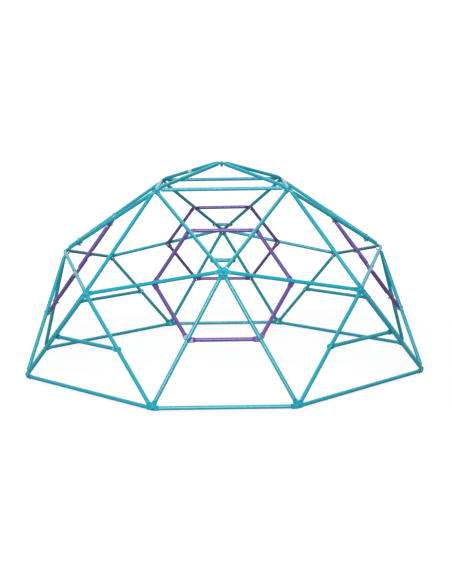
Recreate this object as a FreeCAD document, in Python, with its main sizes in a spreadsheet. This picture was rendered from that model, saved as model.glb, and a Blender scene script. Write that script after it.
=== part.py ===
import FreeCAD, Part
import math
import os
import Sketcher

# Dome climber for a playground, in millimetres, +Z up, standing on the ground at z = 0.
# The front side faces -Y. Steel tubes with pressed, bent and drilled ends meet at bolted hubs.
# Inside the dome, hexagons of rungs join the middles of the six tubes around each side hub.

Vec = FreeCAD.Vector
doc = FreeCAD.newDocument("DomeClimber")
sheet = doc.addObject("Spreadsheet::Sheet", "Sizes")
size = {}


def driving(alias, value, note):
    """Put one driving dimension in the sheet and keep its number for the layout."""
    size[alias] = float(value)
    row = len(size)
    sheet.set("A" + str(row), note)
    sheet.set("B" + str(row), str(value))
    sheet.setAlias("B" + str(row), alias)


# The dome: where the bolt centres lie. Rises are measured from the base hub bolts.
driving("baseRadius", 1250, "dome's middle line to a base hub")
driving("baseSplit", 18.3, "angle from a side's middle to its base hubs, degrees")
driving("sideRadius", 982, "dome's middle line to a side hub")
driving("sideRise", 701, "rise of the side hubs")
driving("cornerRadius", 1093, "dome's middle line to a corner hub")
driving("cornerRise", 557, "rise of the corner hubs")
driving("crownRadius", 549, "dome's middle line to a crown hub")
driving("crownRise", 1101, "rise of the crown hubs")
driving("apexRise", 1238, "rise of the apex hub")

# The tube and its pressed ends.
driving("tubeDiameter", 22, "outside of every tube")
driving("tubeWall", 1.4, "wall of every tube")
driving("seamGap", 0.2, "slit left between the two walls of a pressed end")
driving("flatReach", 26, "bolt to the bend of a pressed end")
driving("taperReach", 18, "length over which the pressed end grows round again")
driving("edgeAngle", 12, "half the arc that becomes an edge of the flat, degrees")
driving("shortFlat", 14, "bolt to the bend on a short rung")
driving("shortTaper", 20, "taper on a short rung")
driving("shortRungReach", 120, "side hub to a short rung's bolt, along the strut")

# The sleeve joint in the middle of a corner base tube.
driving("spigotReach", 40, "length of the reduced end inside the plain half")
driving("spigotClearance", 0.15, "gap around the reduced end")
driving("neckReach", 8, "cone from the tube down to the reduced end")

# Fasteners: domed bolts with a hexagon socket, flat washers and cap nuts.
driving("hubBolt", 10, "thread of a hub bolt")
driving("hubHead", 17.5, "head of a hub bolt")
driving("hubHeadHeight", 5.5, "height of that head")
driving("hubSocket", 6, "across the flats of its socket")
driving("hubNut", 16, "across the flats of a hub nut")
driving("hubNutHeight", 8, "hexagon of a hub nut, below its dome")
driving("hubWasher", 22, "outside of a hub washer")
driving("rungBolt", 8, "thread of a rung bolt")
driving("rungHead", 14, "head of a rung bolt")
driving("rungHeadHeight", 4.4, "height of that head")
driving("rungSocket", 5, "across the flats of its socket")
driving("rungNut", 13, "across the flats of a rung nut")
driving("rungNutHeight", 6.5, "hexagon of a rung nut, below its dome")
driving("rungWasher", 17, "outside of a rung washer")
driving("spliceBolt", 6, "thread of a splice bolt")
driving("spliceHead", 10.5, "head of a splice bolt")
driving("spliceHeadHeight", 3.3, "height of that head")
driving("spliceSocket", 4, "across the flats of its socket")
driving("spliceNut", 10, "across the flats of a splice nut")
driving("spliceNutHeight", 5, "hexagon of a splice nut, below its dome")
driving("washerThickness", 1.6, "thickness of every washer")
driving("holeClearance", 0.25, "gap between a bolt and its hole")
driving("threadClearance", 0.1, "gap between a bolt and its nut")
driving("headLip", 0.2, "upright lip of a bolt head, as a share of its height")
driving("socketDepth", 0.55, "depth of a head's socket, as a share of its height")
driving("nutDome", 0.46, "radius of a cap nut's dome, as a share of its flats")
driving("nutReach", 0.2, "bolt end past a nut's hexagon, in bolt diameters")
driving("boreSpare", 1, "bore left past the bolt's end")

tabThickness = 2 * size["tubeWall"] + size["seamGap"]
# A pressed tube keeps its perimeter, which sets how wide the flat is.
flatWidth = (math.pi * size["tubeDiameter"] - 2 * tabThickness) / 2
boltHeight = flatWidth / 2
driving("tabThickness", tabThickness, "worked out: two walls and the slit")
driving("flatWidth", flatWidth, "worked out: half the tube's perimeter, less an edge")


# ---------------------------------------------------------------- small helpers

def originPlane(body, role):
    for feature in body.Origin.OriginFeatures:
        if feature.Role == role:
            return feature


def newSketch(body, name, origin, xAxis, yAxis, normal):
    """A sketch at any place in the body, given by its axes."""
    sketch = body.newObject("Sketcher::SketchObject", name)
    sketch.AttachmentSupport = [(originPlane(body, "XY_Plane"), "")]
    sketch.MapMode = "FlatFace"
    turn = FreeCAD.Rotation(xAxis, yAxis, normal, "ZXY")
    sketch.AttachmentOffset = FreeCAD.Placement(origin, turn)
    return sketch


def bind(sketch, constraint, expression):
    index = sketch.addConstraint(constraint)
    sketch.setExpression("Constraints[%d]" % index, expression)


def pin(sketch, edge, x, y):
    """Hold the start of an edge: each place is an expression, a plain number or None for on the axis."""
    point = sketch.getPoint(edge, 1)
    for place, kind, value, axis in ((x, "DistanceX", point.x, -2), (y, "DistanceY", point.y, -1)):
        if place is None:
            sketch.addConstraint(Sketcher.Constraint("PointOnObject", edge, 1, axis))
        elif isinstance(place, str):
            bind(sketch, Sketcher.Constraint(kind, -1, 1, edge, 1, value), place)
        else:
            sketch.addConstraint(Sketcher.Constraint(kind, -1, 1, edge, 1, place))


def chain(sketch, edges):
    """Join the end of each edge to the start of the next, all the way round."""
    for number, edge in enumerate(edges):
        sketch.addConstraint(Sketcher.Constraint("Coincident", edges[number - 1], 2, edge, 1))


def drawCircle(sketch, radius, expression, x=0.0, y=0.0):
    """One whole circle. Its radius is bound to the sheet and its centre is pinned."""
    edge = sketch.addGeometry(Part.Circle(Vec(x, y, 0), Vec(0, 0, 1), radius), False)
    bind(sketch, Sketcher.Constraint("Radius", edge, radius), expression)
    if x == 0 and y == 0:
        sketch.addConstraint(Sketcher.Constraint("Coincident", edge, 3, -1, 1))
    else:
        sketch.addConstraint(Sketcher.Constraint("DistanceX", -1, 1, edge, 3, x))
        sketch.addConstraint(Sketcher.Constraint("DistanceY", -1, 1, edge, 3, y))


def drawRound(sketch, radius, expression):
    """A circle in four arcs, split where the pressed end's corners come from."""
    edge = math.radians(size["edgeAngle"])
    splits = [-edge, edge, math.pi - edge, math.pi + edge, 2 * math.pi - edge]
    for first, last in zip(splits, splits[1:]):
        arc = Part.ArcOfCircle(Part.Circle(Vec(0, 0, 0), Vec(0, 0, 1), radius), first, last)
        part = sketch.addGeometry(arc, False)
        sketch.addConstraint(Sketcher.Constraint("Coincident", part, 3, -1, 1))
        bind(sketch, Sketcher.Constraint("Radius", part, radius), expression)


def drawHexagon(sketch, acrossFlats, expression):
    """A centred hexagon with its corners on a construction circle."""
    reach = acrossFlats / math.sqrt(3)
    ring = sketch.addGeometry(Part.Circle(Vec(0, 0, 0), Vec(0, 0, 1), reach), True)
    sketch.addConstraint(Sketcher.Constraint("Coincident", ring, 3, -1, 1))
    bind(sketch, Sketcher.Constraint("Radius", ring, reach), expression + " / sqrt(3)")
    points = []
    for number in range(6):
        turn = math.radians(60 * number)
        points.append(Vec(reach * math.cos(turn), reach * math.sin(turn), 0))
    edges = []
    for number in range(6):
        line = Part.LineSegment(points[number], points[(number + 1) % 6])
        edges.append(sketch.addGeometry(line, False))
    for number in range(6):
        sketch.addConstraint(Sketcher.Constraint("Coincident", edges[number - 1], 2, edges[number], 1))
        sketch.addConstraint(Sketcher.Constraint("PointOnObject", edges[number], 1, ring))
    for number in range(1, 6):
        sketch.addConstraint(Sketcher.Constraint("Equal", edges[0], edges[number]))
    sketch.addConstraint(Sketcher.Constraint("Horizontal", edges[1]))


def drawRectangle(sketch, width, height, widthExpression, heightExpression):
    """A centred rectangle, starting at the corner where drawRound starts its first arc."""
    corners = [Vec(width / 2, -height / 2, 0), Vec(width / 2, height / 2, 0)]
    corners += [Vec(-width / 2, height / 2, 0), Vec(-width / 2, -height / 2, 0)]
    edges = []
    for number in range(4):
        line = Part.LineSegment(corners[number], corners[(number + 1) % 4])
        edges.append(sketch.addGeometry(line, False))
    for number in range(4):
        nextEdge = edges[(number + 1) % 4]
        sketch.addConstraint(Sketcher.Constraint("Coincident", edges[number], 2, nextEdge, 1))
        side = "Vertical" if number % 2 == 0 else "Horizontal"
        sketch.addConstraint(Sketcher.Constraint(side, edges[number]))
    sketch.addConstraint(Sketcher.Constraint("Symmetric", edges[0], 1, edges[2], 1, -1, 1))
    bind(sketch, Sketcher.Constraint("DistanceX", edges[1], 2, edges[1], 1, width), widthExpression)
    bind(sketch, Sketcher.Constraint("DistanceY", edges[0], 1, edges[0], 2, height), heightExpression)


def drawEndTrim(sketch, radius):
    """The waste outside a half-round end that points along -X."""
    past = radius + size["tubeWall"]        # a little wider than the flat
    corners = [Vec(0, radius, 0), Vec(0, past, 0), Vec(-past, past, 0)]
    corners += [Vec(-past, -past, 0), Vec(0, -past, 0), Vec(0, -radius, 0)]
    for start, finish in zip(corners, corners[1:]):
        sketch.addGeometry(Part.LineSegment(start, finish), False)
    sketch.addGeometry(Part.Arc(corners[-1], Vec(-radius, 0, 0), corners[0]), False)


def pad(body, name, sketch, length, expression=None, reverse=False):
    """A pad. Its length is bound to the sheet where it is a size and not a distance in the layout."""
    feature = body.newObject("PartDesign::Pad", name)
    feature.Profile = sketch
    feature.Length = length
    feature.Reversed = reverse
    if expression:
        feature.setExpression("Length", expression)


def cut(body, name, sketch, length, expression):
    feature = body.newObject("PartDesign::Pocket", name)
    feature.Profile = sketch
    feature.Length = length
    feature.setExpression("Length", expression)
    return feature


def cutThrough(body, name, sketch):
    """A cut both ways from the sketch, deep enough for a whole tube."""
    cut(body, name, sketch, 2 * size["tubeDiameter"], "2 * Sizes.tubeDiameter").Midplane = True


# ---------------------------------------------------------------- tubes

class End:
    """Where one end of a tube is bolted: the seat, the bolt's direction and the offset along it."""

    def __init__(self, seat, normal, offset):
        self.seat = seat
        self.normal = normal
        self.bolt = seat + normal * offset


class Line:
    """The straight middle of a tube: its two bends and its own axes."""

    def __init__(self, first, second, flatFirst, flatSecond):
        chord = second.seat - first.seat
        self.aims = []
        self.bends = []
        for end, way, flat in ((first, chord, flatFirst), (second, chord * -1, flatSecond)):
            aim = (way - end.normal * way.dot(end.normal)).normalize()
            self.aims.append(aim)
            self.bends.append(end.bolt + aim * flat)
        along = self.bends[1] - self.bends[0]
        self.length = along.Length
        self.x = Vec(along).normalize()
        outward = first.normal + second.normal
        self.z = (outward - self.x * outward.dot(self.x)).normalize()
        self.y = self.z.cross(self.x)
        self.normals = (first.normal, second.normal)
        turn = FreeCAD.Rotation(self.x, self.y, self.z, "ZXY")
        self.placement = FreeCAD.Placement(self.bends[0], turn)

    def local(self, direction):
        return Vec(direction.dot(self.x), direction.dot(self.y), direction.dot(self.z))

    def point(self, distance):
        return self.bends[0] + self.x * distance


def ringSection(sketch):
    outer = size["tubeDiameter"] / 2
    drawRound(sketch, outer, "Sizes.tubeDiameter / 2")
    drawRound(sketch, outer - size["tubeWall"], "Sizes.tubeDiameter / 2 - Sizes.tubeWall")


def pressedSection(sketch):
    drawRectangle(sketch, flatWidth, tabThickness, "Sizes.flatWidth", "Sizes.tabThickness")
    drawRectangle(sketch, flatWidth - 2 * size["tubeWall"], size["seamGap"],
                  "Sizes.flatWidth - 2 * Sizes.tubeWall", "Sizes.seamGap")


def boltHole(sketch, boltSize, distance=0.0):
    radius = size[boltSize] / 2 + size["holeClearance"]
    drawCircle(sketch, radius, "Sizes.%s / 2 + Sizes.holeClearance" % boltSize, distance)


def addPressedEnd(body, line, side, boltSize, flatAlias, taperAlias):
    """The taper, the bent flat, its half-round end and its bolt hole, at end 0 or 1 of a tube."""
    flat = size[flatAlias]
    sign = 1 if side == 0 else -1
    inward = line.local(line.aims[side])
    normal = line.local(line.normals[side])
    across = normal.cross(inward)
    bend = Vec(0 if side == 0 else line.length, 0, 0)
    tag = str(side + 1)

    along = inward * sign       # runs from end 0 towards end 1 at both ends
    grown = bend + Vec(size[taperAlias] * sign, 0, 0)
    roundPart = newSketch(body, "Ring" + tag, grown, Vec(0, 1, 0), Vec(0, 0, 1), Vec(1, 0, 0))
    ringSection(roundPart)
    flatPart = newSketch(body, "Pressed" + tag, bend, normal.cross(along), normal, along)
    pressedSection(flatPart)
    loft = body.newObject("PartDesign::AdditiveLoft", "Taper" + tag)
    loft.Profile = roundPart
    loft.Sections = [flatPart]
    tabLength = "Sizes.%s + Sizes.flatWidth / 2" % flatAlias
    pad(body, "Tab" + tag, flatPart, flat + flatWidth / 2, tabLength, reverse=(side == 0))

    trim = newSketch(body, "Trim" + tag, bend - inward * flat, inward, across, normal)
    drawEndTrim(trim, flatWidth / 2)
    boltHole(trim, boltSize)
    cutThrough(body, "TabHole" + tag, trim)


def startTube(label, line, start, finish):
    """The body with the straight round stretch between two distances along its line."""
    body = doc.addObject("PartDesign::Body", label)
    body.Label = label
    ring = newSketch(body, "Tube", Vec(start, 0, 0), Vec(0, 1, 0), Vec(0, 0, 1), Vec(1, 0, 0))
    ringSection(ring)
    pad(body, "Straight", ring, finish - start)
    return body


def drillAcross(body, distances, boltSize):
    holes = newSketch(body, "CrossHoles", Vec(0, 0, 0), Vec(1, 0, 0), Vec(0, 1, 0), Vec(0, 0, 1))
    for distance in distances:
        boltHole(holes, boltSize, distance)
    cutThrough(body, "CrossDrilled", holes)


def addTube(label, line, boltSize, flatAlias="flatReach", taperAlias="taperReach", drilled=()):
    """A whole tube, pressed at both ends."""
    taper = size[taperAlias]
    body = startTube(label, line, taper, line.length - taper)
    for side in (0, 1):
        addPressedEnd(body, line, side, boltSize, flatAlias, taperAlias)
    if drilled:
        drillAcross(body, drilled, "rungBolt")
    body.Placement = line.placement
    return body


# ---------------------------------------------------------------- where the hubs are

sides = ["front", "right", "back", "left"]
corners = ["front_right", "back_right", "back_left", "front_left"]      # each after its side
centre = Vec(0, 0, boltHeight)


def ringPoint(radius, degrees, rise):
    """A point at an angle round the dome, from the front towards the right."""
    angle = math.radians(degrees)
    return centre + Vec(radius * math.sin(angle), -radius * math.cos(angle), rise)


hubs = {"apex": ringPoint(0, 0, size["apexRise"])}
for number, side in enumerate(sides):
    angle = 90 * number
    corner = corners[number]
    nextSide = sides[(number + 1) % 4]
    lastSide = sides[number - 1]
    hubs["side_" + side] = ringPoint(size["sideRadius"], angle, size["sideRise"])
    hubs["corner_" + corner] = ringPoint(size["cornerRadius"], angle + 45, size["cornerRise"])
    hubs["crown_" + corner] = ringPoint(size["crownRadius"], angle + 45, size["crownRise"])
    hubs["base_%s_%s" % (side, lastSide)] = ringPoint(size["baseRadius"], angle - size["baseSplit"], 0)
    hubs["base_%s_%s" % (side, nextSide)] = ringPoint(size["baseRadius"], angle + size["baseSplit"], 0)

outward = {name: (point - centre).normalize() for name, point in hubs.items()}

# Every strut: its name and the hubs at its two ends.
struts = {}
for number, side in enumerate(sides):
    corner = corners[number]
    lastCorner = corners[number - 1]
    nextSide = sides[(number + 1) % 4]
    lastSide = sides[number - 1]
    baseLast = "base_%s_%s" % (side, lastSide)
    baseNext = "base_%s_%s" % (side, nextSide)
    struts["apex_strut_" + corner] = ("apex", "crown_" + corner)
    struts["crown_leg_" + corner] = ("crown_" + corner, "corner_" + corner)
    struts["crown_ring_" + side] = ("crown_" + lastCorner, "crown_" + corner)
    for way, baseHub, nearCorner in ((nextSide, baseNext, corner), (lastSide, baseLast, lastCorner)):
        struts["upper_strut_%s_%s" % (side, way)] = ("side_" + side, "crown_" + nearCorner)
        struts["middle_strut_%s_%s" % (side, way)] = ("side_" + side, "corner_" + nearCorner)
        struts["lower_strut_%s_%s" % (side, way)] = ("side_" + side, baseHub)
        struts["corner_leg_%s_%s" % (side, way)] = ("corner_" + nearCorner, baseHub)
    struts["base_side_" + side] = (baseLast, baseNext)
    struts["base_corner_" + corner] = (baseNext, "base_%s_%s" % (nextSide, side))

# At each hub the tabs are stacked on one bolt. A longer strut leans inward more, so it lies deeper.
stacks = {name: [] for name in hubs}
for name, ends in struts.items():
    for hub in ends:
        stacks[hub].append(name)


def span(name):
    return (hubs[struts[name][0]] - hubs[struts[name][1]]).Length


for stack in stacks.values():
    stack.sort(key=lambda name: (round(span(name)), name))


def hubEnd(hub, name):
    """The seat of one strut in the stack of a hub."""
    stack = stacks[hub]
    layer = (len(stack) - 1) / 2 - stack.index(name)
    return End(hubs[hub], outward[hub], layer * tabThickness)


lines = {}
for name, ends in struts.items():
    first, second = [hubEnd(hub, name) for hub in ends]
    lines[name] = Line(first, second, size["flatReach"], size["flatReach"])


# ---------------------------------------------------------------- struts

def group(label, members):
    """One node made of several pieces."""
    compound = doc.addObject("Part::Compound", label)
    compound.Label = label
    compound.Links = members
    return compound


nodes = []
kneeHole = size["shortRungReach"] - size["flatReach"]       # short rung's hole, from the side hub's bend

for name, line in lines.items():
    if name.startswith("base_corner"):
        continue
    drilled = []
    if name.startswith(("upper", "middle", "lower", "corner_leg")):
        drilled.append(line.length / 2)
    if name.startswith("upper"):
        drilled.append(kneeHole)
    tube = addTube(name, line, "hubBolt", drilled=drilled)
    if not name.startswith(("upper", "lower")):
        nodes.append(tube)

# The pair above each side hub and the pair below it are a node each.
for side in sides:
    for kind in ("upper", "lower"):
        pair = [item for item in doc.Objects if item.Label.startswith("%s_strut_%s_" % (kind, side))]
        nodes.append(group("%s_struts_%s" % (kind, side), pair))


# ---------------------------------------------------------------- corner base tubes

def startSwagedHalf(label, start, neck, finish):
    """A round stretch that starts with a reduced end, turned about the tube's line."""
    body = doc.addObject("PartDesign::Body", label)
    body.Label = label
    profile = newSketch(body, "HalfSection", Vec(0, 0, 0), Vec(1, 0, 0), Vec(0, 1, 0), Vec(0, 0, 1))
    wall = size["tubeWall"]
    full = size["tubeDiameter"] / 2
    reduced = full - wall - size["spigotClearance"]
    outline = [Vec(start, reduced, 0), Vec(neck, reduced, 0), Vec(neck + size["neckReach"], full, 0)]
    outline += [Vec(finish, full, 0), Vec(finish, full - wall, 0)]
    outline += [Vec(neck + size["neckReach"], full - wall, 0), Vec(neck, reduced - wall, 0)]
    outline += [Vec(start, reduced - wall, 0)]
    for number, point in enumerate(outline):
        profile.addGeometry(Part.LineSegment(point, outline[(number + 1) % len(outline)]), False)
    turned = body.newObject("PartDesign::Revolution", "Turned")
    turned.Profile = profile
    turned.ReferenceAxis = (profile, ["H_Axis"])
    return body


for corner in corners:
    name = "base_corner_" + corner
    line = lines[name]
    middle = line.length / 2
    plainEnd = middle + size["spigotReach"] / 2
    taper = size["taperReach"]
    plain = startTube(name + "_plain", line, taper, plainEnd)
    addPressedEnd(plain, line, 0, "hubBolt", "flatReach", "taperReach")
    swaged = startSwagedHalf(name + "_swaged", plainEnd - size["spigotReach"], plainEnd, line.length - taper)
    addPressedEnd(swaged, line, 1, "hubBolt", "flatReach", "taperReach")
    for half in (plain, swaged):
        drillAcross(half, [middle], "spliceBolt")
        half.Placement = line.placement
    nodes.append(group(name, [plain, swaged]))


# ---------------------------------------------------------------- rungs inside the dome

rungStacks = {}     # (strut, distance) -> how many rung tabs hang on that bolt


def rungEnd(strut, distance, layer):
    """A seat on the inner side of a strut."""
    rungStacks[strut, distance] = max(rungStacks.get((strut, distance), 0), layer + 1)
    line = lines[strut]
    seat = line.point(distance) - line.z * (size["tubeDiameter"] / 2)
    return End(seat, line.z, -(layer + 0.5) * tabThickness)


def middleOf(strut):
    return lines[strut].length / 2


def addRung(label, first, second, flatAlias="flatReach", taperAlias="taperReach"):
    line = Line(first, second, size[flatAlias], size[flatAlias])
    return addTube(label, line, "rungBolt", flatAlias, taperAlias)


cornerRungs = []
shortRungs = []
for number, side in enumerate(sides):
    nextSide = sides[(number + 1) % 4]
    lastSide = sides[number - 1]
    around = ["%s_strut_%s_%s" % (kind, side, nextSide) for kind in ("upper", "middle", "lower")]
    around += ["%s_strut_%s_%s" % (kind, side, lastSide) for kind in ("lower", "middle", "upper")]
    rungs = []
    for place, strut in enumerate(around):
        other = around[(place + 1) % 6]
        first = rungEnd(strut, middleOf(strut), 0)
        second = rungEnd(other, middleOf(other), 1)
        rungs.append(addRung("hexagon_%s_rung_%d" % (side, place + 1), first, second))
    nodes.append(group("hexagon_" + side, rungs))

    ends = [rungEnd(around[place], kneeHole, 0) for place in (0, 5)]
    shortRungs.append(addRung("short_rung_" + side, ends[0], ends[1], "shortFlat", "shortTaper"))

    legs = ["corner_leg_%s_%s" % (side, nextSide), "corner_leg_%s_%s" % (nextSide, side)]
    ends = [rungEnd(leg, middleOf(leg), 0) for leg in legs]
    cornerRungs.append(addRung("corner_rung_" + corners[number], ends[0], ends[1]))

nodes.append(group("corner_rungs", cornerRungs))
nodes.append(group("short_rungs", shortRungs))


# ---------------------------------------------------------------- fasteners

def addBolt(label, kind, length):
    """A domed bolt that points down -Z, with the underside of its head at z = 0."""
    thread = size[kind + "Bolt"] / 2
    head = size[kind + "Head"] / 2
    height = size[kind + "HeadHeight"]
    lip = height * size["headLip"]
    body = doc.addObject("PartDesign::Body", label)
    body.Label = label
    rise = height - lip
    curve = (head * head + rise * rise) / (2 * rise)        # radius of the dome
    slope = math.acos(head / curve)         # where the dome starts, seen from its centre
    profile = newSketch(body, "Profile", Vec(0, 0, 0), Vec(1, 0, 0), Vec(0, 0, 1), Vec(0, -1, 0))
    outline = [Vec(head, lip, 0), Vec(head, 0, 0), Vec(thread, 0, 0), Vec(thread, -length, 0)]
    outline += [Vec(0, -length, 0), Vec(0, height, 0)]
    circle = Part.Circle(Vec(0, height - curve, 0), Vec(0, 0, 1), curve)
    edges = [profile.addGeometry(Part.ArcOfCircle(circle, slope, math.pi / 2), False)]
    outline.reverse()
    for start, finish in zip(outline, outline[1:]):
        edges.append(profile.addGeometry(Part.LineSegment(start, finish), False))
    chain(profile, edges)
    profile.addConstraint(Sketcher.Constraint("PointOnObject", edges[0], 3, -2))
    headSize = "Sizes.%sHead / 2" % kind
    headHeight = "Sizes.%sHeadHeight" % kind
    threadSize = "Sizes.%sBolt / 2" % kind
    pin(profile, edges[0], headSize, headHeight + " * Sizes.headLip")
    pin(profile, edges[1], None, headHeight)
    pin(profile, edges[2], None, -length)
    pin(profile, edges[3], threadSize, -length)
    pin(profile, edges[4], threadSize, None)
    pin(profile, edges[5], headSize, None)
    turned = body.newObject("PartDesign::Revolution", "Turned")
    turned.Profile = profile
    turned.ReferenceAxis = (profile, ["V_Axis"])
    socket = newSketch(body, "Socket", Vec(0, 0, height), Vec(1, 0, 0), Vec(0, 1, 0), Vec(0, 0, 1))
    drawHexagon(socket, size[kind + "Socket"], "Sizes.%sSocket" % kind)
    cut(body, "SocketCut", socket, height * size["socketDepth"], headHeight + " * Sizes.socketDepth")
    return body


def threadEngagement(kind):
    """How far a bolt reaches into its cap nut."""
    return size[kind + "NutHeight"] + size["nutReach"] * size[kind + "Bolt"]


def addCapNut(label, kind):
    """A cap nut that hangs down -Z from its seat at z = 0."""
    acrossFlats = size[kind + "Nut"]
    height = size[kind + "NutHeight"]
    body = doc.addObject("PartDesign::Body", label)
    body.Label = label
    hexagon = newSketch(body, "Hexagon", Vec(0, 0, 0), Vec(1, 0, 0), Vec(0, 1, 0), Vec(0, 0, 1))
    drawHexagon(hexagon, acrossFlats, "Sizes.%sNut" % kind)
    pad(body, "Body", hexagon, height, "Sizes.%sNutHeight" % kind, reverse=True)
    radius = acrossFlats * size["nutDome"]
    dome = newSketch(body, "Dome", Vec(0, 0, -height), Vec(1, 0, 0), Vec(0, 0, -1), Vec(0, 1, 0))
    circle = Part.Circle(Vec(0, 0, 0), Vec(0, 0, 1), radius)
    edges = [dome.addGeometry(Part.ArcOfCircle(circle, 0, math.pi / 2), False)]
    edges.append(dome.addGeometry(Part.LineSegment(Vec(0, radius, 0), Vec(0, 0, 0)), False))
    edges.append(dome.addGeometry(Part.LineSegment(Vec(0, 0, 0), Vec(radius, 0, 0)), False))
    chain(dome, edges)
    dome.addConstraint(Sketcher.Constraint("Coincident", edges[0], 3, -1, 1))
    bind(dome, Sketcher.Constraint("Radius", edges[0], radius), "Sizes.%sNut * Sizes.nutDome" % kind)
    dome.addConstraint(Sketcher.Constraint("PointOnObject", edges[0], 1, -1))
    dome.addConstraint(Sketcher.Constraint("PointOnObject", edges[0], 2, -2))
    dome.addConstraint(Sketcher.Constraint("Coincident", edges[2], 1, -1, 1))
    turned = body.newObject("PartDesign::Revolution", "DomeTurned")
    turned.Profile = dome
    turned.ReferenceAxis = (dome, ["V_Axis"])
    bore = newSketch(body, "Bore", Vec(0, 0, 0), Vec(1, 0, 0), Vec(0, 1, 0), Vec(0, 0, 1))
    drawCircle(bore, size[kind + "Bolt"] / 2 + size["threadClearance"],
               "Sizes.%sBolt / 2 + Sizes.threadClearance" % kind)
    depth = "Sizes.%sNutHeight + Sizes.nutReach * Sizes.%sBolt + Sizes.boreSpare" % (kind, kind)
    cut(body, "BoreCut", bore, threadEngagement(kind) + size["boreSpare"], depth)
    return body


def addWasher(label, kind):
    """A washer that lies on z = 0."""
    body = doc.addObject("PartDesign::Body", label)
    body.Label = label
    ring = newSketch(body, "Ring", Vec(0, 0, 0), Vec(1, 0, 0), Vec(0, 1, 0), Vec(0, 0, 1))
    drawCircle(ring, size[kind + "Washer"] / 2, "Sizes.%sWasher / 2" % kind)
    boltHole(ring, kind + "Bolt")
    pad(body, "Blank", ring, size["washerThickness"], "Sizes.washerThickness")
    return body


class Spot:
    """A bolted place: a point on the bolt's line, its outward direction and the stack's faces."""

    def __init__(self, point, normal, top, bottom):
        self.point = point
        self.top = top
        self.bottom = bottom
        self.normal = normal
        sideways = Vec(0, 0, 1).cross(normal)
        if sideways.Length < 0.001:
            sideways = Vec(1, 0, 0)
        self.turn = FreeCAD.Rotation(sideways, Vec(0, 0, 0), normal, "ZXY")

    def place(self, master, distance):
        """A copy of a fastener at a distance along the bolt."""
        copy = doc.addObject("App::Link", master.Label + "_copy")
        copy.LinkedObject = master
        copy.Placement = FreeCAD.Placement(self.point + self.normal * distance, self.turn)
        return copy


washer = size["washerThickness"]
half = size["tubeDiameter"] / 2

hubSpots = []
for name, stack in stacks.items():
    reach = len(stack) * tabThickness / 2
    hubSpots.append(Spot(hubs[name], outward[name], reach, -reach))

rungSpots = []
for (strut, distance), tabs in rungStacks.items():
    line = lines[strut]
    rungSpots.append(Spot(line.point(distance), line.z, half, -half - tabs * tabThickness))

spliceSpots = []
for corner in corners:
    line = lines["base_corner_" + corner]
    spliceSpots.append(Spot(line.point(line.length / 2), line.z, half, -half))


def addFastenerNodes(kind, spots, topWasher, bottomWasher):
    """Bolts with the head outside, cap nuts inside, and washers where they are used."""
    nut = addCapNut(kind + "_nut", kind)
    ring = addWasher(kind + "_washer", kind) if topWasher or bottomWasher else None
    bolts = {}
    boltCopies = []
    nutCopies = []
    washerCopies = []
    for spot in spots:
        headSeat = spot.top + washer * topWasher
        nutSeat = spot.bottom - washer * bottomWasher
        length = round(headSeat - nutSeat + threadEngagement(kind), 3)
        if length not in bolts:
            bolts[length] = addBolt("%s_bolt_%d" % (kind, len(bolts) + 1), kind, length)
        boltCopies.append(spot.place(bolts[length], headSeat))
        nutCopies.append(spot.place(nut, nutSeat))
        if topWasher:
            washerCopies.append(spot.place(ring, spot.top))
        if bottomWasher:
            washerCopies.append(spot.place(ring, nutSeat))
    nodes.append(group(kind + "_bolts", boltCopies))
    nodes.append(group(kind + "_nuts", nutCopies))
    if washerCopies:
        nodes.append(group(kind + "_washers", washerCopies))


addFastenerNodes("hub", hubSpots, topWasher=True, bottomWasher=True)
addFastenerNodes("rung", rungSpots, topWasher=False, bottomWasher=True)
addFastenerNodes("splice", spliceSpots, topWasher=False, bottomWasher=False)


# ---------------------------------------------------------------- build, check and write

doc.recompute()
for item in doc.Objects:
    if "Invalid" in item.State or "Error" in item.State:
        raise RuntimeError("%s did not build: %s" % (item.Label, item.State))
for node in nodes:
    if node.Shape.isNull() or not node.Shape.isValid() or not node.Shape.Solids:
        raise RuntimeError("%s has no valid shape" % node.Label)

os.makedirs("parts", exist_ok=True)
for node in nodes:
    node.Shape.exportStep("parts/%s.step" % node.Label)

steel = sum(node.Shape.Volume for node in nodes)
print("nodes", len(nodes), "solids", sum(len(node.Shape.Solids) for node in nodes), "litres", steel / 1e6)
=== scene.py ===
import bmesh
import bpy
import math
import random
from mathutils import Matrix, Vector


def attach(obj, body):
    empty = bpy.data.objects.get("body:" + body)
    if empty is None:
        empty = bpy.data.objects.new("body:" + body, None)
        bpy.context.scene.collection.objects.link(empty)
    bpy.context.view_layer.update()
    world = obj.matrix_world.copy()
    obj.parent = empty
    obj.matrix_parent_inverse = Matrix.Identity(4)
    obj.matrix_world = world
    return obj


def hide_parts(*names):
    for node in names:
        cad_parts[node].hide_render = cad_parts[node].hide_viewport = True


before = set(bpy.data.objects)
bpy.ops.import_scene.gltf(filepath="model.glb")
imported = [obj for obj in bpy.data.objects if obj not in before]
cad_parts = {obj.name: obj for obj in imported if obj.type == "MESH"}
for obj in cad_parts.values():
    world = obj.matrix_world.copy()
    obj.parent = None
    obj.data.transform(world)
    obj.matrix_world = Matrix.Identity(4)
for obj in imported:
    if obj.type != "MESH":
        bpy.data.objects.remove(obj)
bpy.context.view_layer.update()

# The dome climber stands on the floor at z = 0 with its front side towards -Y. Everything is in metres.


# camera

camera = {
    "place": (0.0050, -7.5821, 1.7145),
    "azimuth": -0.085,      # degrees round the dome from its front
    "elevation": 9.507,
    "roll": -0.799,
    "lens": 75.23,          # mm, on a 36 mm sensor along the long side
    "sensor": 36,
}


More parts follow.
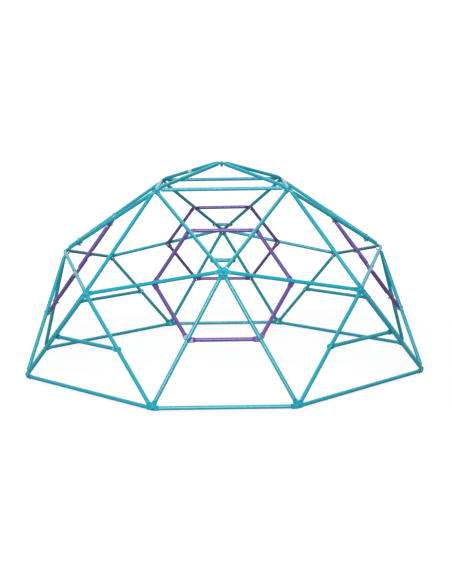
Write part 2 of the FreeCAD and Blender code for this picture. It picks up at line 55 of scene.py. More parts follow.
def makeCamera():
    data = bpy.data.cameras.new("camera")
    data.lens = camera["lens"]
    data.sensor_width = camera["sensor"]
    seen = bpy.data.objects.new("camera", data)
    bpy.context.scene.collection.objects.link(seen)
    azimuth = math.radians(camera["azimuth"])
    elevation = math.radians(camera["elevation"])
    back = Vector((math.sin(azimuth) * math.cos(elevation), -math.cos(azimuth) * math.cos(elevation),
                   math.sin(elevation)))
    right = Vector((math.cos(azimuth), math.sin(azimuth), 0))
    up = back.cross(right)
    turn = Matrix((right, up, back)).transposed() @ Matrix.Rotation(math.radians(camera["roll"]), 3, "Z")
    seen.matrix_world = Matrix.Translation(camera["place"]) @ turn.to_4x4()
    bpy.context.scene.camera = seen


makeCamera()
print("camera made")


# sums of sockets, and the node trees made from them

class Wire:
    # an output socket; sums and products of wires add Math nodes
    def __init__(self, tree, socket):
        self.tree = tree
        self.socket = socket

    def maths(self, operation, first, second=0.0, clamp=False):
        node = self.tree.nodes.new("ShaderNodeMath")
        node.operation = operation
        node.use_clamp = clamp
        for place, value in enumerate((first, second)):
            if isinstance(value, Wire):
                self.tree.links.new(value.socket, node.inputs[place])
            else:
                node.inputs[place].default_value = value
        return Wire(self.tree, node.outputs[0])

    def __add__(self, other):
        return self.maths("ADD", self, other)

    def __radd__(self, other):
        return self.maths("ADD", other, self)

    def __sub__(self, other):
        return self.maths("SUBTRACT", self, other)

    def __rsub__(self, other):
        return self.maths("SUBTRACT", other, self)

    def __mul__(self, other):
        return self.maths("MULTIPLY", self, other)

    def __rmul__(self, other):
        return self.maths("MULTIPLY", other, self)

    def __truediv__(self, other):
        return self.maths("DIVIDE", self, other)

    def clamped(self):
        return self.maths("ADD", self, 0.0, clamp=True)

    def sine(self):
        return self.maths("SINE", self)

    def rises(self, start, finish):
        # 0 before start and 1 after finish, or the other way when finish is the smaller
        return ((self - start) / (finish - start)).clamped()


def weighed(weights, *wires):
    # weights: the value at rest, then how much of each wire is added to it
    total = weights[0]
    for weight, wire in zip(weights[1:], wires):
        total = wire * weight + total
    return total


class Finish:
    # the node tree of a material, or of the sky
    def __init__(self, owner, shaderName="Principled BSDF"):
        owner.use_nodes = True
        self.owner = owner
        self.tree = owner.node_tree
        self.shader = self.tree.nodes[shaderName]

    def feed(self, socket, value):
        if isinstance(value, Wire):
            self.tree.links.new(value.socket, socket)
        else:
            socket.default_value = value

    def add(self, kind, settings, inputs, output=0):
        node = self.tree.nodes.new(kind)
        for setting, value in settings.items():
            setattr(node, setting, value)
        for socket, value in inputs.items():
            self.feed(node.inputs[socket], value)
        return Wire(self.tree, node.outputs[output])

    def place(self, kind="Object"):
        return self.add("ShaderNodeTexCoord", {}, {}, kind)

    def noise(self, scale, detail=2.0, rough=0.5, vector=None):
        # noise about 0, near -0.5 to 0.5
        inputs = {"Vector": vector or self.place(), "Scale": scale, "Detail": detail, "Roughness": rough}
        return self.add("ShaderNodeTexNoise", {}, inputs, 0) - 0.5

    def stretched(self, amounts):
        settings = {"operation": "MULTIPLY"}
        return self.add("ShaderNodeVectorMath", settings, {0: self.place(), 1: amounts})

    def marked(self, name):
        # a number stored on the mesh
        return self.add("ShaderNodeAttribute", {"attribute_name": name}, {}, "Fac")

    def upward(self):
        normal = self.add("ShaderNodeNewGeometry", {}, {}, "Normal")
        return self.add("ShaderNodeSeparateXYZ", {}, {0: normal}, "Z")

    def height(self):
        return self.add("ShaderNodeSeparateXYZ", {}, {0: self.place()}, "Z")

    def mixed(self, share, first, second):
        # inputs 0, 6 and 7 are the factor and the two colours
        return self.add("ShaderNodeMix", {"data_type": "RGBA"}, {0: share, 6: first, 7: second}, 2)

    def bump(self, height, distance, under=None):
        inputs = {"Height": height, "Distance": distance, "Strength": 1.0}
        if under:
            inputs["Normal"] = under
        return self.add("ShaderNodeBump", {}, inputs)

    def finish(self, values):
        for socket, value in values.items():
            self.feed(self.shader.inputs[socket], value)
        return self.owner


# studio: a white floor under a white sky, with soft lamps

studio = {
    "floorSize": 80.0,
    "floorColour": (0.26, 0.26, 0.26, 1),
    "floorRoughness": 0.9,
    "nearGlow": (0.77, 0.77, 0.77, 1),      # what the floor adds where it is looked at, near the dome
    "farGlow": (1.0, 1.0, 1.0, 1),
    "glowReach": (1.7, 4.5),                # metres from the middle between the two
    "white": (1, 1, 1, 1),
    "skyStrength": 1.10,
    "skyDim": (0.14, 0.14, 0.14, 1),        # what lights the dome from the front and the sides
    "skyBack": (0.15, 0.75),                # where the sky behind the dome turns bright, as shares of +Y
    "lamps": [              # name, place, width, height, power
        ("key", (-1.6, -13.0, 6.6), 8.5, 7.0, 2000),
        ("top", (0.0, 0.3, 6.0), 4.0, 4.0, 90),
    ],
    "aim": (0, 0, 0.6),
}


def makeStudio():
    bpy.context.scene.view_settings.view_transform = "Standard"
    world = bpy.data.worlds.new("studio")
    bpy.context.scene.world = world
    sky = Finish(world, "Background")
    behind = sky.add("ShaderNodeSeparateXYZ", {}, {0: sky.place("Generated")}, "Y").rises(*studio["skyBack"])
    seen = sky.add("ShaderNodeLightPath", {}, {}, "Is Camera Ray")
    sky.finish({
        "Color": sky.mixed((behind + seen).clamped(), studio["skyDim"], studio["white"]),
        "Strength": studio["skyStrength"],
    })

    half = studio["floorSize"] / 2
    mesh = bpy.data.meshes.new("floor")
    outline = [(-half, -half, 0), (half, -half, 0), (half, half, 0), (-half, half, 0)]
    mesh.from_pydata(outline, [], [(0, 1, 2, 3)])
    floor = bpy.data.objects.new("floor", mesh)
    bpy.context.scene.collection.objects.link(floor)
    paint = Finish(bpy.data.materials.new("whiteFloor"))
    away = paint.add("ShaderNodeVectorMath", {"operation": "LENGTH"}, {0: paint.place()}, "Value")
    far = away.rises(*studio["glowReach"])
    mesh.materials.append(paint.finish({
        "Base Color": studio["floorColour"],
        "Roughness": studio["floorRoughness"],
        "Specular IOR Level": 0.0,
        "Emission Color": paint.mixed(far, studio["nearGlow"], studio["farGlow"]),
        "Emission Strength": paint.add("ShaderNodeLightPath", {}, {}, "Is Camera Ray"),
    }))

    for name, place, width, height, power in studio["lamps"]:
        data = bpy.data.lights.new(name, "AREA")
        data.shape = "RECTANGLE"
        data.size = width
        data.size_y = height
        data.energy = power
        lamp = bpy.data.objects.new(name, data)
        bpy.context.scene.collection.objects.link(lamp)
        lamp.location = place
        lamp.rotation_mode = "QUATERNION"
        lamp.rotation_quaternion = (Vector(studio["aim"]) - Vector(place)).to_track_quat("-Z", "Y")


makeStudio()
print("studio made")


# finishes

powderCoats = {
    "teal": {
        "colour": (0.0012, 0.395, 0.50, 1),
        "deep": (0.0008, 0.32, 0.415, 1),
        "pale": (0.003, 0.47, 0.585, 1),
    },
    "purple": {
        "colour": (0.150, 0.078, 0.345, 1),
        "deep": (0.112, 0.055, 0.27, 1),
        "pale": (0.21, 0.125, 0.43, 1),
    },
    "steel": (0.42, 0.43, 0.44, 1),         # bare, where the coat is chipped
    "dustColour": (0.62, 0.60, 0.55, 1),
    "specular": 0.64,
    "cloudScale": 2.6,                      # slow drift of the colour, per metre
    "peelScale": 330,                       # orange peel
    "peelDepth": 0.000014,
    "grainScale": 1500,                     # powder grain
    "grainDepth": 0.000003,
    "scuffScale": 9.0,
    "scuffStretch": (3.0, 3.0, 34.0),
    "scuffed": (0.10, 0.26),                # noise where a scuff begins and where it is whole
    "washerRub": (0.0108, 0.0118, 0.0132),  # ring scuffed by a washer, from the bolt's middle
    "chipScale": 420,
    "chipped": (0.10, 0.16),
    "nickScale": 160,
    "nicked": (0.305, 0.32),
    "nickPatchScale": 7.0,
    "nickPatch": (0.02, 0.14),
    "nickShare": 0.8,
    "dustScale": 30,
    "dustPatches": (0.6, 1.6),
    "dustUpward": (0.35, 0.95),             # how far a face must look up
    "dustOnTop": 0.008,
    "dustHeight": (0.09, 0.0),              # above the floor
    "dustLow": 0.02,
    "deepness": (0.28, 0.45, -1.5, 0.35, 0.2),          # at rest, then by tone, cloud, grain and rub
    "paleness": (-0.08, 1.3, 0.3, 0.35),                # by cloud, peel and cut
    "roughness": (0.26, 0.05, 0.06, 0.09, 0.14, 0.9, 0.15),     # by peel, cloud, scuff, rub, dust and steel
    "shine": 0.9,                           # of bare steel
}


def makePowderCoat(name):
    coat = powderCoats
    shades = coat[name]
    paint = Finish(bpy.data.materials.new(name + "PowderCoat"))
    cloud = paint.noise(coat["cloudScale"], 3.0)
    peel = paint.noise(coat["peelScale"], 1.5)
    grain = paint.noise(coat["grainScale"], 2.0, 0.7)
    scuff = paint.noise(coat["scuffScale"], 6.0, 0.62, paint.stretched(coat["scuffStretch"]))
    scuff = scuff.rises(*coat["scuffed"])
    tone, cut, reach = paint.marked("tone"), paint.marked("cut"), paint.marked("reach")

    inner, middle, outer = coat["washerRub"]
    rub = reach.rises(inner, middle) * reach.rises(outer, middle)
    chips = cut * paint.noise(coat["chipScale"], 3.0, 0.6).rises(*coat["chipped"])
    nicks = paint.noise(coat["nickScale"], 5.0, 0.75).rises(*coat["nicked"])
    nicks = nicks * paint.noise(coat["nickPatchScale"], 2.0).rises(*coat["nickPatch"])
    steel = (chips + nicks * coat["nickShare"]).clamped()
    dust = paint.upward().rises(*coat["dustUpward"]) * coat["dustOnTop"]
    dust = dust + paint.height().rises(*coat["dustHeight"]) * coat["dustLow"]
    dust = dust * weighed(coat["dustPatches"], paint.noise(coat["dustScale"], 4.0, 0.65))

    deep = weighed(coat["deepness"], tone, cloud, grain, rub).clamped()
    pale = weighed(coat["paleness"], cloud, peel, cut).clamped()
    colour = paint.mixed(deep, shades["colour"], shades["deep"])
    colour = paint.mixed(pale, colour, shades["pale"])
    colour = paint.mixed(dust.clamped(), colour, coat["dustColour"])
    depth = paint.bump(peel, coat["peelDepth"])
    return paint.finish({
        "Base Color": paint.mixed(steel, colour, coat["steel"]),
        "Metallic": steel * coat["shine"],
        "Roughness": weighed(coat["roughness"], peel, cloud, scuff, rub, dust, steel),
        "Specular IOR Level": coat["specular"],
        "Normal": paint.bump(grain, coat["grainDepth"], depth),
    })


zincPlates = {
    "bright": {"colour": (0.74, 0.76, 0.78, 1), "shade": (0.52, 0.545, 0.58, 1),
               "roughness": (0.2, 0.12, 0.02, 0.35)},           # at rest, then by patch, turning and pit
    "dull": {"colour": (0.33, 0.345, 0.36, 1), "shade": (0.20, 0.21, 0.225, 1),
             "roughness": (0.34, 0.12, 0.02, 0.35)},
    "blueTint": (0.55, 0.63, 0.76, 1),
    "blueShare": 0.7,
    "strawTint": (0.74, 0.70, 0.56, 1),
    "strawShare": -0.5,
    "tintScale": 70,
    # a near-black mixed in where the mesh marks a pit: painted shade in the recesses, with dirt
    "grime": (0.05, 0.05, 0.052, 1),
    "dirtAndShadeShare": (0.75, 1.0),        # painted shade and dirt in a pit, at rest and by patch
    "patchScale": 260,
    "shadiness": (0.3, 1.4),
    "turningPitch": 9000.0,          # radians per metre across a turned face
    "turningDepth": 0.000004,
    "grainScale": 2600,
    "grainDepth": 0.00001,
    "pitDullness": (1.0, -0.5),
}


def makeZinc(name):
    zinc = zincPlates
    kind = zinc[name]
    plate = Finish(bpy.data.materials.new(name + "Zinc"))
    patch = plate.noise(zinc["patchScale"], 3.0, 0.6)
    tint = plate.noise(zinc["tintScale"], 2.0)
    grain = plate.noise(zinc["grainScale"], 2.0, 0.7)
    pit = plate.marked("pit")
    turning = (plate.marked("radial") * zinc["turningPitch"]).sine()
    colour = plate.mixed(weighed(zinc["shadiness"], patch).clamped(), kind["colour"], kind["shade"])
    colour = plate.mixed((tint * zinc["blueShare"]).clamped(), colour, zinc["blueTint"])
    colour = plate.mixed((tint * zinc["strawShare"]).clamped(), colour, zinc["strawTint"])
    # darker in pits: painted shade and dirt
    dirtAndShadeMask = (pit * weighed(zinc["dirtAndShadeShare"], patch)).clamped()
    depth = plate.bump(turning, zinc["turningDepth"])
    return plate.finish({
        "Base Color": plate.mixed(dirtAndShadeMask, colour, zinc["grime"]),
        "Metallic": weighed(zinc["pitDullness"], pit),
        "Roughness": weighed(kind["roughness"], patch, turning, pit),
        "Normal": plate.bump(grain, zinc["grainDepth"], depth),
    })


coatedHeads = {
    "colour": (0.003, 0.35, 0.45, 1),
    # socket: a darker teal in the socket, under the head and down the shank, where the mesh marks a pit:
    # painted shade, with dirt
    "socket": (0.003, 0.14, 0.18, 1),
    "shadeAndDirtShare": (0.9, 1.0),       # painted shade and dirt in a pit, at rest and by cloud
    "worn": (0.04, 0.44, 0.53, 1),
    "wear": (0.0, 0.9, 0.2),         # at rest, then by cloud and tone
    "roughness": (0.13, 0.1, 0.4),   # by cloud and pit
    "specular": 0.9,
    "cloudScale": 190,
    "grainScale": 1700,
    "grainDepth": 0.00001,
}


def makeCoatedHead():
    heads = coatedHeads
    paint = Finish(bpy.data.materials.new("coatedHead"))
    cloud = paint.noise(heads["cloudScale"], 3.0, 0.6)
    grain = paint.noise(heads["grainScale"], 2.0, 0.7)
    pit, tone = paint.marked("pit"), paint.marked("tone")
    worn = weighed(heads["wear"], cloud, tone).clamped()
    # painted shade and dirt in the socket, under the head and on the shank
    shadeAndDirtInPits = (pit * weighed(heads["shadeAndDirtShare"], cloud)).clamped()
    return paint.finish({
        "Base Color": paint.mixed(shadeAndDirtInPits, paint.mixed(worn, heads["colour"], heads["worn"]), heads["socket"]),
        "Roughness": weighed(heads["roughness"], cloud, pit),
        "Specular IOR Level": heads["specular"],
        "Normal": paint.bump(grain, heads["grainDepth"]),
    })


teal = makePowderCoat("teal")
purple = makePowderCoat("purple")
brightZinc = makeZinc("bright")
dullZinc = makeZinc("dull")
coatedHead = makeCoatedHead()
print("finishes made")


# pieces are drawn as rings of points, joined ring to ring

class Shell:
    # points and faces of a piece while it is made, with the numbers its finish reads
    def __init__(self):
        self.points = []
        self.faces = []
        self.marks = {}

    def ring(self, points, **marks):
        first = len(self.points)
        self.points.extend(points)
        for name, values in marks.items():
            if not isinstance(values, (list, tuple)):
                values = [values] * len(points)
            stored = self.marks.setdefault(name, {})
            for number, value in enumerate(values):
                stored[first + number] = value
        return list(range(first, len(self.points)))

    def join(self, first, second, closed=True):
        count = len(first)
        for number in range(count if closed else count - 1):
            after = (number + 1) % count
            self.faces.append((first[number], first[after], second[after], second[number]))

    def cap(self, ring, middle, **marks):
        tip = self.ring([middle], **marks)[0]
        for number, point in enumerate(ring):
            self.faces.append((point, ring[(number + 1) % len(ring)], tip))

    def make(self, name, finish, slotName=None, nodes=(), sharpAngle=32):
        mesh = bpy.data.meshes.new(name)
        mesh.from_pydata(self.points, [], self.faces)
        for mark, values in self.marks.items():
            stored = mesh.attributes.new(mark, "FLOAT", "POINT")
            stored.data.foreach_set("value", [values.get(number, 0.0) for number in range(len(self.points))])
        work = bmesh.new()
        work.from_mesh(mesh)
        bmesh.ops.recalc_face_normals(work, faces=work.faces)
        work.to_mesh(mesh)
        work.free()
        mesh.shade_smooth()
        mesh.set_sharp_from_angle(angle=math.radians(sharpAngle))
        mesh.materials.append(finish)
        piece = bpy.data.objects.new(name, mesh)
        bpy.context.scene.collection.objects.link(piece)
        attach(piece, "root")
        if nodes:
            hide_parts(*nodes)


def camel(name):
    words = name.split("_")
    return words[0] + "".join(word.capitalize() for word in words[1:])


def smooth(share):
    share = min(1.0, max(0.0, share))
    return share * share * (3 - 2 * share)


# layout of the dome: hubs, struts and the order of their ends on each bolt

dome = {
    "baseRadius": 1.250,
    "baseSplit": 18.3,       # degrees from a side's middle to its base hubs
    "side": (0.982, 0.701),  # distance out and rise
    "corner": (1.093, 0.557),
    "crown": (0.549, 1.101),
    "apexRise": 1.238,
}

tube = {
    "radius": 0.011,
    "wall": 0.0014,
    "flatThickness": 0.0030,
    "flatReach": 0.026,      # bolt to bend
    "taperReach": 0.018,     # bend to full round
    "shortFlat": 0.014,
    "shortTaper": 0.020,
    "shortRungReach": 0.120,
    "bendReach": 0.004,      # half the length of the bend
    "spigotReach": 0.040,
    "spigotRadius": 0.00945,
    "neckReach": 0.008,
}
tube["flatWidth"] = math.pi * tube["radius"] - tube["flatThickness"]     # half the girth, less the folds

sides = ["front", "right", "back", "left"]
corners = ["front_right", "back_right", "back_left", "front_left"]      # each after its side
centre = Vector((0, 0, tube["flatWidth"] / 2))


def ringPoint(radius, degrees, rise):
    angle = math.radians(degrees)
    return centre + Vector((radius * math.sin(angle), -radius * math.cos(angle), rise))


class End:
    # where one end of a tube is bolted
    def __init__(self, seat, normal, offset):
        self.seat = seat
        self.normal = normal
        self.bolt = seat + normal * offset


class Line:
    # the straight middle of a tube and its two bends
    def __init__(self, first, second, flat):
        chord = second.seat - first.seat
        self.ends = (first, second)
        self.flat = flat
        self.aims = []
        self.bends = []
        for end, way in ((first, chord), (second, -chord)):
            aim = (way - end.normal * way.dot(end.normal)).normalized()
            self.aims.append(aim)
            self.bends.append(end.bolt + aim * flat)
        along = self.bends[1] - self.bends[0]
        self.length = along.length
        self.x = along.normalized()
        outward = first.normal + second.normal
        self.z = (outward - self.x * outward.dot(self.x)).normalized()

    def point(self, distance):
        return self.bends[0] + self.x * distance


hubs = {"apex": ringPoint(0, 0, dome["apexRise"])}
for number, side in enumerate(sides):
    angle = 90 * number
    corner = corners[number]
    nextSide = sides[(number + 1) % 4]
    lastSide = sides[number - 1]
    split = dome["baseSplit"]
    hubs["side_" + side] = ringPoint(dome["side"][0], angle, dome["side"][1])
    hubs["corner_" + corner] = ringPoint(dome["corner"][0], angle + 45, dome["corner"][1])
    hubs["crown_" + corner] = ringPoint(dome["crown"][0], angle + 45, dome["crown"][1])
    hubs["base_%s_%s" % (side, lastSide)] = ringPoint(dome["baseRadius"], angle - split, 0)
    hubs["base_%s_%s" % (side, nextSide)] = ringPoint(dome["baseRadius"], angle + split, 0)
outward = {name: (point - centre).normalized() for name, point in hubs.items()}

struts = {}
for number, side in enumerate(sides):
    corner = corners[number]
    lastCorner = corners[number - 1]
    nextSide = sides[(number + 1) % 4]
    lastSide = sides[number - 1]
    baseLast = "base_%s_%s" % (side, lastSide)
    baseNext = "base_%s_%s" % (side, nextSide)
    struts["apex_strut_" + corner] = ("apex", "crown_" + corner)
    struts["crown_leg_" + corner] = ("crown_" + corner, "corner_" + corner)
    struts["crown_ring_" + side] = ("crown_" + lastCorner, "crown_" + corner)
    for way, baseHub, nearCorner in ((nextSide, baseNext, corner), (lastSide, baseLast, lastCorner)):
        struts["upper_strut_%s_%s" % (side, way)] = ("side_" + side, "crown_" + nearCorner)
        struts["middle_strut_%s_%s" % (side, way)] = ("side_" + side, "corner_" + nearCorner)
        struts["lower_strut_%s_%s" % (side, way)] = ("side_" + side, baseHub)
        struts["corner_leg_%s_%s" % (side, way)] = ("corner_" + nearCorner, baseHub)
    struts["base_side_" + side] = (baseLast, baseNext)
    struts["base_corner_" + corner] = (baseNext, "base_%s_%s" % (nextSide, side))


def span(name):
    return (hubs[struts[name][0]] - hubs[struts[name][1]]).length


stacks = {name: [] for name in hubs}
for name, ends in struts.items():
    for hub in ends:
        stacks[hub].append(name)
for stack in stacks.values():
    stack.sort(key=lambda name: (round(span(name), 3), name))       # shorter struts lie further out


def hubEnd(hub, name):
    layer = (len(stacks[hub]) - 1) / 2 - stacks[hub].index(name)
    return End(hubs[hub], outward[hub], layer * tube["flatThickness"])


lines = {name: Line(hubEnd(ends[0], name), hubEnd(ends[1], name), tube["flatReach"])
         for name, ends in struts.items()}
print("layout made:", len(hubs), "hubs,", len(struts), "struts")


# tubes with pressed ends

pressing = {
    "flatSteps": 15,         # faces across a flat
    "edgeSteps": 2,          # faces in each quarter of a folded edge
    "taperSteps": 12,
    "bendSteps": 4,
    "sideSteps": 3,
    "tipSteps": 18,
    "middleStep": 0.07,
    "foldToCut": 24,         # degrees round the tip over which the folded edge turns into a cut one
    "cutCorner": 0.93,
    "seamGroove": 0.72,      # how far out the seam line between the walls lies, as a share of their half
    "edgeCut": 0.3,          # how much the sharp edges and the hole's wall count as cut metal
    "holeCut": 0.6,
    "shortestFlat": 0.001,   # a run of flat shorter than this has no ring of its own
    "hubHole": 0.00525,
    "rungHole": 0.00425,
    "farReach": 0.1,         # stored away from the bolts, where no washer rubs
}


def pressedShares():
    # shares of the way round a section, crowded where a pressed end folds
    width, height = tube["flatWidth"], tube["flatThickness"]
    quarter = math.pi * height / 4
    flat = width - height
    whole = 2 * flat + 4 * quarter
    steps = [quarter / pressing["edgeSteps"]] * pressing["edgeSteps"]
    across = [flat / pressing["flatSteps"]] * pressing["flatSteps"]
    shares = [0.0]
    for step in steps + across + steps * 2 + across + steps:
        shares.append(shares[-1] + step / whole)
    return shares[:-1]


shares = pressedShares()
topFlat = list(range(pressing["edgeSteps"], pressing["edgeSteps"] + pressing["flatSteps"] + 1))
bottomFlat = [len(shares) - number for number in topFlat]       # the same points mirrored to the underside
foldPoints = 2 * pressing["edgeSteps"] + 1      # round a folded edge, from top to underside


def sectionPoint(width, height, share):
    # a point on an outline with two flats and two half-round sides
    half = height / 2
    flat = width - height
    quarter = math.pi * half / 2
    away = share * (2 * flat + 4 * quarter)
    for start, turn, way in ((flat / 2, 0.0, -1), (-flat / 2, math.pi, 1)):
        if away <= quarter:
            angle = turn + away / half
            return start + half * math.cos(angle), half * math.sin(angle)
        away -= quarter
        if away <= flat:
            return start + way * away, -way * half
        away -= flat
        if away <= quarter:
            angle = turn + math.pi / 2 + away / half
            return -start + half * math.cos(angle), half * math.sin(angle)
        away -= quarter
    return flat / 2 + half, 0.0


def tubeSection(share):
    # from pressed flat (0) to full round (1)
    across = 2 * tube["radius"]
    height = tube["flatThickness"] + (across - tube["flatThickness"]) * share
    width = tube["flatWidth"] + (across - tube["flatWidth"]) * share
    return [sectionPoint(width, height, part) for part in shares]


flatSection = tubeSection(0)
roundSection = tubeSection(1)


def placed(section, origin, across, normal):
    return [origin + across * x + normal * y for x, y in section]


class TubeEnd:
    # the frame of a pressed end: inward along the flat, its normal and the way across
    def __init__(self, line, side):
        self.line = line
        self.bolt = line.ends[side].bolt
        self.bend = line.bends[side]
        self.inward = line.aims[side]
        self.normal = line.ends[side].normal
        self.along = line.x if side == 0 else -line.x
        self.upright = (self.normal - self.along * self.normal.dot(self.along)).normalized()


def pressedEnd(shell, end, holeRadius, taper, tone):
    # rings from the start of the plate to the full round, and the plate itself; gives back the last ring
    flat = end.line.flat
    bendReach = tube["bendReach"]
    across = end.normal.cross(end.inward)
    plateReach = min(tube["flatWidth"] / 2, flat - bendReach)
    start = shell.ring(placed(flatSection, end.bolt + end.inward * plateReach, across, end.normal),
                       tone=tone, cut=0.0, reach=[math.hypot(plateReach, x) for x, y in flatSection])
    plate(shell, end, start, plateReach, holeRadius, tone)
    previous = start
    if flat - bendReach > plateReach + pressing["shortestFlat"]:
        origin = end.bolt + end.inward * (flat - bendReach)
        ring = shell.ring(placed(flatSection, origin, across, end.normal), tone=tone, cut=0.0,
                          reach=pressing["farReach"])
        shell.join(previous, ring)
        previous = ring
    for step in range(1, pressing["bendSteps"] + 1):
        share = step / pressing["bendSteps"]
        first = end.bend - end.inward * bendReach * (1 - share)
        second = end.bend + end.along * bendReach * share
        origin = first.lerp(second, share)
        aim = end.inward.lerp(end.along, share).normalized()
        upright = end.normal.lerp(end.upright, share)
        upright = (upright - aim * upright.dot(aim)).normalized()
        grown = smooth(bendReach * share / taper) * share
        points = placed(tubeSection(grown), origin, upright.cross(aim), upright)
        ring = shell.ring(points, tone=tone, cut=0.0, reach=pressing["farReach"])
        shell.join(previous, ring)
        previous = ring
    begun = bendReach / taper
    for step in range(1, pressing["taperSteps"] + 1):
        share = begun + (1 - begun) * step / pressing["taperSteps"]
        origin = end.bend + end.along * taper * share
        points = placed(tubeSection(smooth(share)), origin, end.upright.cross(end.along), end.upright)
        ring = shell.ring(points, tone=tone, cut=0.0, reach=pressing["farReach"])
        shell.join(previous, ring)
        previous = ring
    return previous


def plate(shell, end, start, plateReach, holeRadius, tone):
    # the drilled, half-round end: folded along its sides, cut through both walls round its tip
    half = tube["flatThickness"] / 2
    core = tube["flatWidth"] / 2 - half
    across = end.normal.cross(end.inward)
    rim = []        # place along, place across, outward direction and how much it is cut
    for step in range(1, pressing["sideSteps"] + 1):
        rim.append((plateReach * (1 - step / pressing["sideSteps"]), core, (0, 1), 0.0))
    for step in range(1, pressing["tipSteps"]):
        degrees = 180 * step / pressing["tipSteps"]
        out = (-math.sin(math.radians(degrees)), math.cos(math.radians(degrees)))
        sawn = smooth(min(degrees, 180 - degrees) / pressing["foldToCut"])
        rim.append((out[0] * core, out[1] * core, out, sawn))
    for step in range(pressing["sideSteps"]):
        rim.append((plateReach * step / pressing["sideSteps"], -core, (0, -1), 0.0))
    diagonal = math.sqrt(0.5)
    edgeLines = [[start[index % len(start)] for index in range(topFlat[0], topFlat[0] - foldPoints, -1)]]
    for along, aside, out, sawn in rim:
        middle = end.bolt + end.inward * along + across * aside
        away = end.inward * out[0] + across * out[1]
        corner = diagonal + (pressing["cutCorner"] - diagonal) * sawn
        waist = 1 - (1 - pressing["seamGroove"]) * sawn
        profile = [(0, 1), (corner, corner), (waist, 0), (corner, -corner), (0, -1)]
        points = [middle + (away * x + end.normal * y) * half for x, y in profile]
        radius = math.hypot(along, aside)
        edgeCut = pressing["edgeCut"] * sawn
        edgeLines.append(shell.ring(points, tone=tone, cut=[edgeCut, sawn, sawn, sawn, edgeCut],
                                    reach=[radius, radius + half, radius + half, radius + half, radius]))
    edgeLines.append([start[index] for index in range(topFlat[-1], topFlat[-1] + foldPoints)])
    for first, second in zip(edgeLines, edgeLines[1:]):
        shell.join(first, second, closed=False)
    holes = []
    for level, flatPoints, place in ((1, topFlat, 0), (-1, bottomFlat, -1)):
        outer = [start[index] for index in flatPoints] + [line[place] for line in reversed(edgeLines[1:-1])]
        inner = []
        for index in outer:
            offset = shell.points[index] - end.bolt
            angle = math.atan2(offset.dot(across), offset.dot(end.inward))
            turned = end.inward * math.cos(angle) + across * math.sin(angle)
            inner.append(end.bolt + turned * holeRadius + end.normal * half * level)
        hole = shell.ring(inner, tone=tone, cut=pressing["holeCut"], reach=holeRadius)
        shell.join(outer, hole)
        holes.append(hole)
    shell.join(holes[0], holes[1])


def roundRun(shell, line, previous, first, second, start, finish, tone, last=None):
    # plain round tube between two distances, turning from one end's upright to the other's
    steps = max(1, round((finish - start) / pressing["middleStep"]))
    for step in range(1, steps + 1):
        share = step / steps
        upright = first.lerp(second, share)
        upright = (upright - line.x * upright.dot(line.x)).normalized()
        origin = line.point(start + (finish - start) * share)
        if step == steps and last:
            ring = last
        else:
            points = placed(roundSection, origin, upright.cross(line.x), upright)
            ring = shell.ring(points, tone=tone, cut=0.0, reach=pressing["farReach"])
        shell.join(previous, ring)
        previous = ring
    return previous


dice = random.Random(7)


def facing(ring):
    # the far end's ring runs the other way round: the same points in the near end's order
    half = len(ring) // 2
    return [ring[(half - number) % len(ring)] for number in range(len(ring))]


def wholeTube(shell, line, holeRadius, taper):
    tone = dice.uniform(-0.5, 0.5)
    first, second = TubeEnd(line, 0), TubeEnd(line, 1)
    start = pressedEnd(shell, first, holeRadius, taper, tone)
    finish = facing(pressedEnd(shell, second, holeRadius, taper, tone))
    roundRun(shell, line, start, first.upright, second.upright, taper, line.length - taper, tone, finish)


def turnedRings(shell, line, upright, outline, previous, tone):
    # rings of given distances, radii and cut along a line; gives back the rings
    rings = []
    for distance, radius, sawn in outline:
        scale = radius / tube["radius"]
        section = [(x * scale, y * scale) for x, y in roundSection]
        points = placed(section, line.point(distance), upright.cross(line.x), upright)
        ring = shell.ring(points, tone=tone, cut=sawn, reach=pressing["farReach"])
        if previous:
            shell.join(previous, ring)
        previous = ring
        rings.append(ring)
    return rings


splice = {
    "lip": 0.0004,           # rounding of the sawn end
    "lipWaist": 0.3,         # where the rounding's middle point lies, as a share of the lip
    "boreDepth": 0.060,
    "spigotEnd": 0.0020,     # how far the reduced end is turned in at its tip
    "neckSteps": 6,
}


def splicedTube(shell, line, holeRadius, taper):
    # a plain half and a half whose reduced end slides into it
    first, second = TubeEnd(line, 0), TubeEnd(line, 1)
    upright = (first.upright + second.upright).normalized()
    mouth = line.length / 2 + tube["spigotReach"] / 2
    radius, bore, lip = tube["radius"], tube["radius"] - tube["wall"], splice["lip"]
    waist = lip * splice["lipWaist"]
    boreEnd = mouth - splice["boreDepth"]
    tone = dice.uniform(-0.5, 0.5)
    start = pressedEnd(shell, first, holeRadius, taper, tone)
    last = roundRun(shell, line, start, first.upright, upright, taper, mouth - lip, tone)
    outline = [(mouth - waist, radius - waist, 0.5), (mouth, radius - lip, 1), (mouth, bore + lip / 2, 1),
               (mouth - lip / 2, bore, 0.5), (boreEnd, bore, 0)]
    rings = turnedRings(shell, line, upright, outline, last, tone)
    shell.cap(rings[-1], line.point(boreEnd), tone=tone, cut=0.0, reach=pressing["farReach"])

    tone = dice.uniform(-0.5, 0.5)
    tip = mouth - tube["spigotReach"]
    slim, neck = tube["spigotRadius"], mouth + tube["neckReach"]
    outline = [(tip, slim - splice["spigotEnd"], 0), (tip, slim - lip, 0), (tip + lip, slim, 0),
               (mouth, slim, 0)]
    for step in range(1, splice["neckSteps"] + 1):
        share = step / splice["neckSteps"]
        outline.append((mouth + (neck - mouth) * share, slim + (radius - slim) * smooth(share), 0))
    rings = turnedRings(shell, line, upright, outline, None, tone)
    shell.cap(rings[0], line.point(tip), tone=tone, cut=0.0, reach=pressing["farReach"])
    finish = facing(pressedEnd(shell, second, holeRadius, taper, tone))
    roundRun(shell, line, rings[-1], upright, second.upright, neck, line.length - taper, tone, finish)


